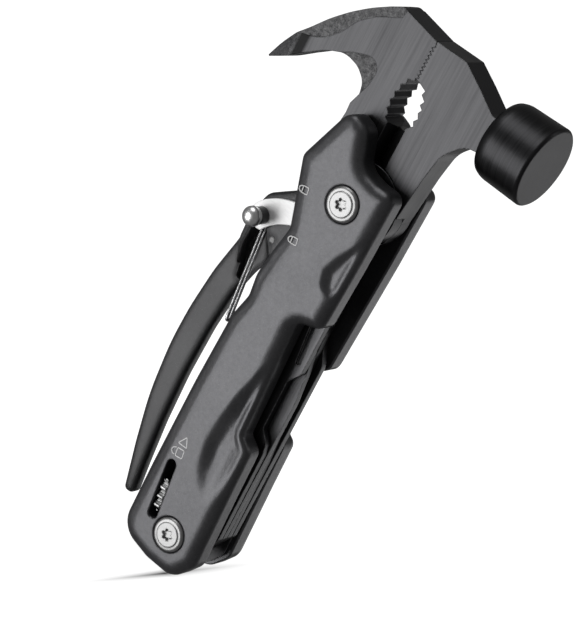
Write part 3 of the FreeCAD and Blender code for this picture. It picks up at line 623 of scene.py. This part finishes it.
def make_scale(name, notch, sign, node):
    """Handle scale: a rounded slab with thumb hollows, cut for its screws, and in front for the slider."""
    grid = slab(LEFT + notch + FOOT, SPINE, sign * FACE, sign * INNER, 4.2, 2.6, grip_relief)
    quads = sheet_quads(grid.shape[0], grid.shape[1], True)
    piece = new_piece(name, place(grid.reshape(-1, 3)), quads, MATERIALS["scale"], "handle", 40,
                      capped=True)
    tools = [disc_cutter("seat_%d" % k, 0.0, k * SCREW_GAP, 5.15, 5.55, 1.7, sign) for k in range(2)]
    if sign < 0:
        rim = capsule_line(*SLOT, 1.5)
        wide = capsule_line(*SLOT, 1.85)
        rows = [(rim, -INNER + 1.0), (rim, -FACE + 0.35), (wide, -FACE - 0.02), (wide, -FACE - 2)]
        points = np.stack([np.stack([r[:, 0], np.full(len(r), y), r[:, 1]], -1) for r, y in rows], 1)
        middle = np.array([(SLOT[0][0] + SLOT[1][0]) / 2, 0, (SLOT[0][1] + SLOT[1][1]) / 2])
        ends = [np.broadcast_to(middle + [0, y, 0], (len(rim), 1, 3)) for y in (-INNER + 1.0, -FACE - 2)]
        tools.append(cutter("slot", np.concatenate([ends[0], points, ends[1]], 1)))
    for tool in tools:
        step = piece.modifiers.new("cut", "BOOLEAN")
        step.operation, step.solver, step.object = "DIFFERENCE", "EXACT", tool
    bpy.context.view_layer.update()
    done = bpy.data.meshes.new_from_object(piece.evaluated_get(bpy.context.evaluated_depsgraph_get()))
    piece.modifiers.clear()
    piece.data = done
    for tool in tools:
        bpy.data.objects.remove(tool)
    shade(piece, 32)
    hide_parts(node)
    return piece


make_scale("front_grip", FRONT_NOTCH, -1, "front_scale")
make_scale("back_grip", BACK_NOTCH, 1, "back_scale")


# ---------------------------------------------------------------- turned pieces

def turned(name, profile, x, z, material, body, slot, node=None, count=96, shape=None, sharp=35.0):
    """Revolved profile of (radius, y) about the Y direction; shape(r, angle, y) may move y."""
    profile = np.array(profile, float)
    angle = np.linspace(0, 2 * math.pi, count, endpoint=False)[:, None]
    r, y = profile[None, :, 0], np.broadcast_to(profile[None, :, 1], (count, len(profile)))
    if shape is not None:
        y = y + shape(np.broadcast_to(r, y.shape), angle, y)
    points = np.stack([x + r * np.cos(angle), y, z + r * np.sin(angle)], -1)
    piece = new_piece(name, place(points.reshape(-1, 3)), sheet_quads(count, len(profile), True), material,
                      body, sharp)
    if node:
        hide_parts(node)
    return piece


def spread(corners, step):
    """Profile with points at most step apart between its corners."""
    out = [np.array(corners[:1], float)]
    for a, b in zip(corners, corners[1:]):
        a, b = np.array(a, float), np.array(b, float)
        n = max(1, int(np.ceil(np.linalg.norm(b - a) / step)))
        out.append(a + (b - a) * np.linspace(0, 1, n + 1)[1:, None])
    return np.vstack(out)


def star_drive(sign):
    """Six-pointed recess: 0.9 deep inside the radius 1.10 + 0.62 |cos(3 angle)| to the power 1.6."""
    def shape(r, angle, y):
        edge = 1.10 + 0.62 * np.abs(np.cos(3 * angle)) ** 1.6
        front = (sign * y > 13.0)
        return -sign * 0.9 * ease((edge - r) / 0.12 + 0.5) * front
    return shape


def head_profile(sign):
    """Screw head from its axis out: raised disc, ring, chamfer and side."""
    face = [(0, 14.40), (3.35, 14.40), (3.5, 14.33), (3.62, 14.12), (4.35, 14.08), (4.75, 13.85),
            (4.98, 13.5), (5.0, 11.9)]
    return [(r, sign * y) for r, y in face]


for k in range(2):
    height = k * SCREW_GAP
    front_line = np.vstack([spread(head_profile(-1), 0.12), [[1.85, -11.9], [1.85, 2.6], [0, 2.6]]])
    back_line = np.vstack([spread(head_profile(1), 0.12),
                           [[3.0, 11.9], [3.0, -9.6], [1.9, -9.6], [1.9, 3.0], [0, 3.0]]])
    turned("screw_%d" % k, front_line, 0, height, MATERIALS["screw"], "handle", "bright",
           "handle_screws", shape=star_drive(-1))
    turned("barrel_%d" % k, back_line, 0, height, MATERIALS["screw"], "handle", "bright",
           "handle_barrels", shape=star_drive(1))

knob_low, knob_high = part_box("knob")
KNOB = ((knob_low.x + knob_high.x) / 2 * 1000 - PIVOT[0] * 1000,
        (knob_low.z + knob_high.z) / 2 * 1000 - PIVOT[2] * 1000)
bend = np.linspace(math.pi / 2, 0.05, 22)
dome = np.stack([2.88 * np.cos(bend), -11.15 - 2.05 * np.sin(bend)], 1)
knob_line = np.vstack([[[0, -13.2]], dome[1:], [[2.6, -11.0], [2.45, -10.85], [2.6, -10.7], [2.88, -10.6],
                                              [2.88, -10.35], [2.75, -10.22], [1.52, -10.22], [1.52, -10.7],
                                              [0, -10.7]]])
turned("knob_ball", knob_line, *KNOB, MATERIALS["bright"], "lever", "bright", "knob", sharp=50)


# ---------------------------------------------------------------- spring wire and lock plate

def arc_path(points, radius):
    """Path in space through straight runs, each corner an arc of this radius tangent to its two runs."""
    points = [np.array(p, float) for p in points]
    out = [points[0][None, :]]
    for before, corner, after in zip(points, points[1:], points[2:]):
        a, b = before - corner, after - corner
        a, b = a / np.linalg.norm(a), b / np.linalg.norm(b)
        half = math.acos(float(a @ b)) / 2
        centre = corner + (a + b) / np.linalg.norm(a + b) * radius / math.sin(half)
        first = corner + a * radius / math.tan(half) - centre
        last = corner + b * radius / math.tan(half) - centre
        t, turn = np.linspace(0, 1, 14)[:, None], math.pi - 2 * half
        out.append(centre + (np.sin((1 - t) * turn) * first + np.sin(t * turn) * last) / math.sin(turn))
    return np.vstack(out + [points[-1][None, :]])


def tube(path, radius, sides=14):
    """Round tube: rings square to the path, each turned from the last by the least angle, ends closed."""
    way = np.gradient(path, axis=0)
    way /= np.linalg.norm(way, axis=1, keepdims=True)
    side, sides_out = np.cross(way[0], [0.3, 0.9, 0.2]), []
    for step in way:
        side = side - step * (side @ step)
        side = side / np.linalg.norm(side)
        sides_out.append(side)
    side = np.array(sides_out)
    angle = np.linspace(0, 2 * math.pi, sides, endpoint=False)
    across = np.cross(way, side)
    ring = side[:, None, :] * np.cos(angle)[None, :, None] + across[:, None, :] * np.sin(angle)[None, :, None]
    rings = path[:, None, :] + radius * ring
    ends = [np.broadcast_to(path[k], (1, sides, 3)) for k in (0, -1)]
    return np.concatenate([ends[0], rings, ends[1]], 0)


def spring_legs():
    """Path of two straight legs from the coil down to a hairpin by the handle's edge."""
    top, low = np.array([-23.5, -0.45, 86.3]), np.array([-17.0, -7.8, 61.6])
    shift = np.array([0, -1.95, 0])
    way = (low - top) / np.linalg.norm(low - top)
    across = shift - way * (shift @ way)
    middle, reach = low + across / 2, way * np.linalg.norm(across) / 2
    bend_by = np.linspace(0, math.pi, 18)[:, None]
    hairpin = middle - across / 2 * np.cos(bend_by) + reach * np.sin(bend_by)
    back = arc_path([(-24.75, 0.5, 88.8), top, low], 3.0)
    front = arc_path([low + across, top + shift, (-24.75, -1.2, 88.8)], 3.0)
    return np.vstack([back[:-1], hairpin, front[1:]])


def evenly_in_space(path, step):
    """The same path with points step apart."""
    run = np.concatenate([[0.0], np.cumsum(np.linalg.norm(np.diff(path, axis=0), axis=1))])
    at = np.linspace(0, run[-1], int(run[-1] / step) + 1)
    return np.stack([np.interp(at, run, path[:, k]) for k in range(3)], 1)


# The coil's turns and radius, and the wire's own radius in the legs and in the coil.
COIL_TURNS = 3.2
COIL_RADIUS = 2.3
LEG_WIRE = 0.5
COIL_WIRE = 0.42
turn_by = np.linspace(0, COIL_TURNS * 2 * math.pi, 170)
coil_path = np.stack([-23.7 + COIL_RADIUS * np.cos(turn_by), 1.25 - 2.5 * turn_by / turn_by[-1],
                      90.8 + COIL_RADIUS * np.sin(turn_by)], 1)
leg_path = evenly_in_space(spring_legs(), 0.22)
for name, path, radius in (("spring_legs", leg_path, LEG_WIRE), ("spring_coil", coil_path, COIL_WIRE)):
    rings = tube(path, radius)
    quads = sheet_quads(rings.shape[0], rings.shape[1], False, True)
    wire = new_piece(name, place(rings.reshape(-1, 3)), quads, MATERIALS["wire"], "spring", 60)
    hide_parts("spring_wire")


# ---------------------------------------------------------------- icons

def ribbon(name, paths, half, y, material, body):
    """Raised line along each path: a flat four-cornered section swept along it, closed at its ends."""
    points, quads, start = [], [], 0
    for path, closed in paths:
        p = np.asarray(path, float)
        after, before = np.roll(p, -1, axis=0), np.roll(p, 1, axis=0)
        if not closed:
            after[-1], before[0] = 2 * p[-1] - p[-2], 2 * p[0] - p[1]
        way = after - before
        way /= np.linalg.norm(way, axis=1, keepdims=True)
        side = np.stack([-way[:, 1], way[:, 0]], 1) * half
        section = [(side, y - 0.025), (side, y + 0.2), (-side, y + 0.2), (-side, y - 0.025)]
        grid = np.stack([np.stack([(p + s)[:, 0], np.full(len(p), level), (p + s)[:, 1]], -1)
                         for s, level in section], 1)
        points.append(grid.reshape(-1, 3))
        quads.append(sheet_quads(len(p), 4, closed, True) + start)
        if not closed:
            quads.append(np.array([[3, 2, 1, 0], [4 * len(p) - 4, 4 * len(p) - 3, 4 * len(p) - 2,
                                                  4 * len(p) - 1]]) + start)
        start += 4 * len(p)
    return new_piece(name, place(np.vstack(points)), np.vstack(quads), material, body, 30, 1e-7)


def turned_marks(paths, x, z, angle, size):
    """Paths scaled by size, turned by an angle and moved to (x, z)."""
    c, s = math.cos(angle), math.sin(angle)
    spin = np.array([[c, s], [-s, c]])
    return [(np.asarray(p, float) * size @ spin + [x, z], closed) for p, closed in paths]


arc = np.linspace(0, math.pi, 16)
BODY = (outline([(-0.8, -1.0, 0.2), (0.8, -1.0, 0.2), (0.8, 0.5, 0.2), (-0.8, 0.5, 0.2)], 48), True)
SHUT = (np.stack([0.72 * np.cos(arc), 0.55 + 0.85 * np.sin(arc)], 1), False)
OPEN = (np.stack([0.70 * np.cos(arc), 0.80 + 0.75 * np.sin(arc)], 1), False)
ARROW = (outline([(-10.5, 24.4, 0.15), (-7.4, 24.5, 0.15), (-8.8, 27.3, 0.15)], 48), True)


def print_material():
    """Printed white lines, a little uneven."""
    f = Finish("white_print", 0.0, 0.55)
    hand = f.use(HANDLING, Scale=400.0, Amount=1.0)
    f.colour(mix_colour(f.tree, 1.0, (0.78, 0.78, 0.78), hand.outputs["Tone"], "MULTIPLY"))
    grain_node = f.use(GRAIN, Scale=5000.0)
    f.bump(grain_node.outputs["Height"], 0.00001)
    return f.material


PRINT = print_material()
UP_LEFT = math.radians(98)
marks = turned_marks([BODY, SHUT], -11.95, 107.0, UP_LEFT, 1.22) + [ARROW]
marks += turned_marks([BODY, SHUT], -7.9, 93.4, UP_LEFT, 1.22)
marks += turned_marks([BODY, OPEN], -9.0, 22.0, UP_LEFT, 1.55)
ribbon("lock_marks", marks, 0.13, -FACE, PRINT, "handle")


# ---------------------------------------------------------------- slider

def slider_bar():
    """Thumb bar: capsule outline, its top waved along the slot into ribs that run across it."""
    low, high = np.array(SLOT[0], float), np.array(SLOT[1], float)
    way = (high - low) / np.linalg.norm(high - low)
    side = np.array([-way[1], way[0]])
    start, end, half = 1.8, 9.4, 1.33
    t = np.linspace(start - half, end + half, 120)
    past = np.clip(np.maximum(start - t, t - end), 0, half)
    width = np.sqrt(np.maximum(half * half - past * past, 1e-6))
    v = np.linspace(-1, 1, 15)
    wave = 0.5 - 0.5 * np.cos((t - start + 0.9) / 2.75 * 2 * math.pi)
    edge_fall = 0.5 * (1 - np.sqrt(np.clip(1 - np.clip(np.abs(v) - 0.55, 0, 1) ** 2 / 0.21, 0, 1)))
    y = -(12.15 + 0.85 * wave[:, None] ** 0.7 - edge_fall[None, :])
    y = np.where(past[:, None] > 0.9, np.minimum(y, -12.2) + 0.5, y)
    centre = low + way * t[:, None]
    flat = centre[:, None, :] + side * (v[None, :] * width[:, None])[..., None]
    top = np.stack([flat[..., 0], y, flat[..., 1]], -1)
    left, right = top[:, :1].copy(), top[:, -1:].copy()
    left[..., 1], right[..., 1] = -6.9, -6.9
    grid = np.concatenate([left, top, right], 1)
    quads = sheet_quads(grid.shape[0], grid.shape[1], False, True)
    return grid.reshape(-1, 3), quads


points, quads = slider_bar()
bar = new_piece("thumb_slider", place(points), quads, MATERIALS["slider"], "slider", 60, 5e-5, True)
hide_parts("lock_slider")


# ---------------------------------------------------------------- floor, lights and camera

RIGHT = Vector((0.7244, 0.5351, 0.4347)).normalized()
BACK = RIGHT.cross(Vector((-0.5586, 0.0859, 0.8250))).normalized()
UP = BACK.cross(RIGHT)


def make_floor():
    """Pale glowing floor, left out of the object's reflections, soft light and shadows."""
    size = 4.0
    mesh = bpy.data.meshes.new("floor")
    corners = [(-size, -size, 0), (size, -size, 0), (size, size, 0), (-size, size, 0)]
    mesh.from_pydata(corners, [], [(0, 1, 2, 3)])
    floor = bpy.data.objects.new("floor", mesh)
    bpy.context.scene.collection.objects.link(floor)
    f = Finish("pale_floor", 0.0, 0.9)
    grain_node = f.use(GRAIN, Scale=300.0)
    f.colour(mix_colour(f.tree, grain_node.outputs["Value"], (0.50, 0.50, 0.50), (0.54, 0.54, 0.54)))
    f.skin.inputs["Emission Color"].default_value = (1, 1, 1, 1)
    f.skin.inputs["Emission Strength"].default_value = 0.97
    mesh.materials.append(f.material)
    floor.visible_glossy = floor.visible_diffuse = floor.visible_shadow = False


def make_painted_contact_shadow():
    """Painted contact shadow: a soft dark line on the floor by the butt, as a thin card whose darkness falls
    off from its middle.
    """
    middle = Vector(place([4.0, -12.5, -10.9]))
    across, deep = Vector((0.152, 0.988, 0)) * 0.060, Vector((-0.988, 0.152, 0)) * 0.0024
    corners = [middle - across - deep, middle + across - deep, middle + across + deep, middle - across + deep]
    mesh = bpy.data.meshes.new("painted_shadow_card")
    mesh.from_pydata([tuple(c) for c in corners], [], [(0, 1, 2, 3)])
    mesh.uv_layers.new(name="card").data.foreach_set("uv", [0, 0, 1, 0, 1, 1, 0, 1])
    card = bpy.data.objects.new("painted_shadow_card", mesh)
    bpy.context.scene.collection.objects.link(card)
    f = Finish("painted_contact_shadow", 0.0, 1.0)
    f.skin.inputs["Base Color"].default_value = (0, 0, 0, 1)
    f.skin.inputs["Specular IOR Level"].default_value = 0.0
    where = add(f.tree, "ShaderNodeUVMap", uv_map="card")
    split = add(f.tree, "ShaderNodeSeparateXYZ")
    join(f.tree, where.outputs[0], split.inputs[0])
    falls = []
    for axis, power in ((0, 2.6), (1, 1.6)):
        off = math_node(f.tree, "ABSOLUTE", math_node(f.tree, "MULTIPLY_ADD", split.outputs[axis], 2.0, -1.0))
        falls.append(math_node(f.tree, "POWER", math_node(f.tree, "SUBTRACT", 1.0, off, clamp=True), power))
    join(f.tree, math_node(f.tree, "MULTIPLY", falls[0], falls[1]), f.skin.inputs["Alpha"])
    mesh.materials.append(f.material)
    card.visible_glossy = card.visible_diffuse = card.visible_shadow = False


def area_light(name, way, far, wide, tall, power):
    """Rectangular soft light seen from the tool along way: shares of right, up and toward the camera."""
    lamp = bpy.data.lights.new(name, "AREA")
    lamp.shape, lamp.size, lamp.size_y, lamp.energy = "RECTANGLE", wide, tall, power
    thing = bpy.data.objects.new(name, lamp)
    outward = (RIGHT * way[0] + UP * way[1] + BACK * way[2]).normalized()
    thing.location = Vector((float(PIVOT[0]), 0.0, 0.09)) + outward * far
    thing.rotation_euler = outward.to_track_quat("Z", "Y").to_euler()
    thing.visible_camera = False
    bpy.context.scene.collection.objects.link(thing)


def make_world():
    """White surroundings for the camera, dim light for the object."""
    world = bpy.data.worlds.new("studio")
    bpy.context.scene.world = world
    world.use_nodes = True
    tree = world.node_tree
    tree.nodes.clear()
    out = add(tree, "ShaderNodeOutputWorld")
    seen, lit = add(tree, "ShaderNodeBackground"), add(tree, "ShaderNodeBackground")
    seen.inputs[0].default_value, seen.inputs[1].default_value = (1, 1, 1, 1), 1.05
    lit.inputs[0].default_value, lit.inputs[1].default_value = (1, 1, 1, 1), 0.16
    path, mixed = add(tree, "ShaderNodeLightPath"), add(tree, "ShaderNodeMixShader")
    join(tree, path.outputs["Is Camera Ray"], mixed.inputs[0])
    join(tree, lit.outputs[0], mixed.inputs[1])
    join(tree, seen.outputs[0], mixed.inputs[2])
    join(tree, mixed.outputs[0], out.inputs[0])


def make_camera():
    """Long lens to the right of the front, a little above, rolled so the handle leans."""
    lens = bpy.data.cameras.new("camera")
    lens.lens, lens.sensor_width, lens.sensor_fit = 156.1, 36.0, "AUTO"
    eye = bpy.data.objects.new("camera", lens)
    turn = Matrix((RIGHT, UP, BACK)).transposed().to_4x4()
    eye.matrix_world = Matrix.Translation(Vector(place([297.4, -629.5, 340.5]))) @ turn
    bpy.context.scene.collection.objects.link(eye)
    bpy.context.scene.camera = eye


make_floor()
make_painted_contact_shadow()
make_world()
make_camera()
area_light("left_box", (-0.90, -0.05, 0.42), 0.75, 0.42, 0.60, 3.1)
area_light("top_box", (-0.15, 0.90, 0.40), 0.75, 0.50, 0.35, 1.6)
area_light("back_box", (0.62, -0.35, -0.70), 0.75, 0.45, 0.45, 0.55)
area_light("right_edge", (0.95, 0.25, 0.1), 0.80, 0.10, 0.60, 0.35)
bpy.context.scene.view_settings.view_transform = "Standard"
